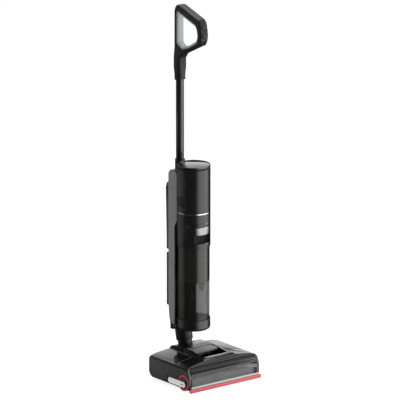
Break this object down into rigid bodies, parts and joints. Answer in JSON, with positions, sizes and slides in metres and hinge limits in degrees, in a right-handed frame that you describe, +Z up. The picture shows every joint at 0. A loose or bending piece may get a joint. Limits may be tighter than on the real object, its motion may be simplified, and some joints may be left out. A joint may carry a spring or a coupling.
{
  "type": "wet dry floor scrubber",
  "caption": "Upright wet and dry floor scrubber with a wide roller head, leaning tilt-and-swivel neck, round column with dirty and clean water tanks, thin pole and loop handle.",
  "frame": {"origin": "on the floor, under the middle of the width and of the depth of the upright object", "axes": "+Z up along the column and pole, -Y towards the front squeegee, +X to the right side as seen from the front facing the object's back"},
  "size_m": [0.2646, 0.2448, 1.11],
  "materials": {
    "gloss_black": "high gloss moulded plastic",
    "satin_black": "satin moulded plastic",
    "panel_grey": "satin grey moulded plastic",
    "light_grey": "satin light grey moulded plastic",
    "mirror_black": "polished black display cover",
    "smoked_clear": "smoked clear plastic",
    "pale_clear": "frosted clear plastic",
    "bright_trim": "bright plated trim",
    "silver_tab": "satin silver",
    "red_rubber": "soft red rubber",
    "red_plastic": "red moulded plastic",
    "black_rubber": "black rubber",
    "roller_pile": "short dense microfibre pile",
    "core_plastic": "dark grey engineering plastic",
    "steel": "ground steel",
    "brass_contact": "plated contact",
    "motor_body": "cast motor casing",
    "drive_motor": "motor can",
    "cell_wrap": "green cell sleeve",
    "filter_media": "pleated filter paper"
  },
  "bodies": {
    "floor_head": {"base_plate": "core_plastic", "head_housing": "gloss_black", "belt_cover": "gloss_black", "roller_bay": "core_plastic", "pivot_bracket": "core_plastic", "pivot_pins": "steel", "roller_motor": "drive_motor", "drive_belt": "black_rubber", "spray_bar": "light_grey", "roller_scraper": "red_plastic", "rear_squeegee": "black_rubber", "front_squeegee": "red_rubber", "front_lip": "pale_clear", "wheel_axles": "steel", "charging_contacts": "brass_contact", "head_screws": "steel"},
    "roller_cover": {"roller_cover": "gloss_black", "front_window": "smoked_clear"},
    "cover_release": {"cover_release": "light_grey"},
    "roller_holder": {"roller_end_cap": "satin_black", "roller_end_ring": "red_plastic", "roller_pull_tab": "silver_tab"},
    "roller": {"roller_core": "core_plastic", "roller_pile": "roller_pile"},
    "roller_pulley": {"roller_pulley": "core_plastic"},
    "motor_pulley": {"motor_pulley": "core_plastic"},
    "wheel_left": {"wheel_left": "black_rubber"},
    "wheel_right": {"wheel_right": "black_rubber"},
    "neck": {"neck_lower": "satin_black"},
    "column": {"neck_upper": "satin_black", "frame_core": "satin_black", "side_panel_left": "panel_grey", "side_panel_right": "panel_grey", "battery_cover": "satin_black", "battery_cells": "cell_wrap", "water_pump": "motor_body", "motor_housing": "satin_black", "display_bezel": "bright_trim", "display_glass": "mirror_black", "accent_band": "bright_trim", "suction_motor": "motor_body", "frame_screws": "steel"},
    "impeller": {"impeller": "light_grey"},
    "dirty_tank": {"tank_head": "satin_black", "tank_shell": "smoked_clear", "tank_base": "satin_black", "separator": "core_plastic", "filter_cartridge": "filter_media"},
    "tank_float": {"tank_float": "light_grey"},
    "tank_latch": {"tank_latch": "bright_trim"},
    "clean_tank": {"clean_tank": "satin_black"},
    "clean_tank_cap": {"clean_tank_cap": "red_plastic"},
    "clean_tank_button": {"clean_tank_button": "red_plastic"},
    "pole": {"pole_tube": "gloss_black", "handle_left": "satin_black", "handle_right": "satin_black", "handle_liner": "light_grey"},
    "power_button": {"power_button": "mirror_black"},
    "mode_button": {"mode_button": "mirror_black"},
    "pole_button": {"pole_button": "core_plastic"}
  },
  "joints": [
    {"name": "neck_tilt", "type": "hinge", "parent": "floor_head", "child": "neck", "pos_m": [0, 0.066, 0.054], "axis": [-1, 0, 0], "range_deg": [0, 78]},
    {"name": "neck_swivel", "type": "hinge", "parent": "neck", "child": "column", "pos_m": [0, 0.0759, 0.09687], "axis": [0, 0.225, 0.9744], "range_deg": [-35, 35]},
    {"name": "roller_slide", "type": "slide", "parent": "floor_head", "child": "roller_holder", "axis": [-1, 0, 0], "range_m": [0, 0.25]},
    {"name": "roller_spin", "type": "hinge", "parent": "roller_holder", "child": "roller", "pos_m": [0, -0.084, 0.0245], "axis": [1, 0, 0], "continuous": true},
    {"name": "roller_pulley_spin", "type": "hinge", "parent": "floor_head", "child": "roller_pulley", "pos_m": [0.12, -0.084, 0.0245], "axis": [1, 0, 0], "continuous": true},
    {"name": "motor_pulley_spin", "type": "hinge", "parent": "floor_head", "child": "motor_pulley", "pos_m": [0.12, -0.025, 0.042], "axis": [1, 0, 0], "continuous": true},
    {"name": "cover_lift", "type": "slide", "parent": "floor_head", "child": "roller_cover", "axis": [0, 0, 1], "range_m": [0, 0.045]},
    {"name": "cover_release_press", "type": "slide", "parent": "roller_cover", "child": "cover_release", "axis": [0, 0, -1], "range_m": [0, 0.002], "stiffness_N_per_m": 800, "springref_m": -0.001},
    {"name": "wheel_left_spin", "type": "hinge", "parent": "floor_head", "child": "wheel_left", "pos_m": [-0.045, 0.074, 0.016], "axis": [1, 0, 0], "continuous": true},
    {"name": "wheel_right_spin", "type": "hinge", "parent": "floor_head", "child": "wheel_right", "pos_m": [0.045, 0.074, 0.016], "axis": [1, 0, 0], "continuous": true},
    {"name": "tank_slide", "type": "slide", "parent": "column", "child": "dirty_tank", "axis": [0, -1, 0], "range_m": [0, 0.12]},
    {"name": "tank_latch_press", "type": "slide", "parent": "dirty_tank", "child": "tank_latch", "axis": [0, 1, 0], "range_m": [0, 0.003], "stiffness_N_per_m": 600, "springref_m": -0.001},
    {"name": "float_rise", "type": "slide", "parent": "dirty_tank", "child": "tank_float", "axis": [0, 0, 1], "range_m": [0, 0.006]},
    {"name": "clean_tank_slide", "type": "slide", "parent": "column", "child": "clean_tank", "axis": [0, 1, 0], "range_m": [0, 0.08]},
    {"name": "clean_tank_button_press", "type": "slide", "parent": "clean_tank", "child": "clean_tank_button", "axis": [0, -1, 0], "range_m": [0, 0.003], "stiffness_N_per_m": 600, "springref_m": -0.001},
    {"name": "clean_tank_cap_turn", "type": "hinge", "parent": "clean_tank", "child": "clean_tank_cap", "pos_m": [0, 0.11, 0.2], "axis": [0, 0, 1], "range_deg": [0, 90]},
    {"name": "impeller_spin", "type": "hinge", "parent": "column", "child": "impeller", "pos_m": [0, 0.0323, 0.5], "axis": [0, 0, 1], "continuous": true},
    {"name": "pole_slide", "type": "slide", "parent": "column", "child": "pole", "axis": [0, 0, 1], "range_m": [0, 0.08]},
    {"name": "pole_button_press", "type": "slide", "parent": "column", "child": "pole_button", "axis": [0.866, 0.5, 0], "range_m": [0, 0.0018], "stiffness_N_per_m": 400, "springref_m": -0.001},
    {"name": "power_button_press", "type": "slide", "parent": "pole", "child": "power_button", "axis": [0, 0.9912, -0.1323], "range_m": [0, 0.0015], "stiffness_N_per_m": 500, "springref_m": -0.001},
    {"name": "mode_button_press", "type": "slide", "parent": "pole", "child": "mode_button", "axis": [0, 0.9912, -0.1323], "range_m": [0, 0.0015], "stiffness_N_per_m": 500, "springref_m": -0.001}
  ],
  "couplings": [
    {"joint": "roller_pulley_spin", "follows": "roller_spin", "ratio": 1},
    {"joint": "motor_pulley_spin", "follows": "roller_spin", "ratio": 2}
  ]
}
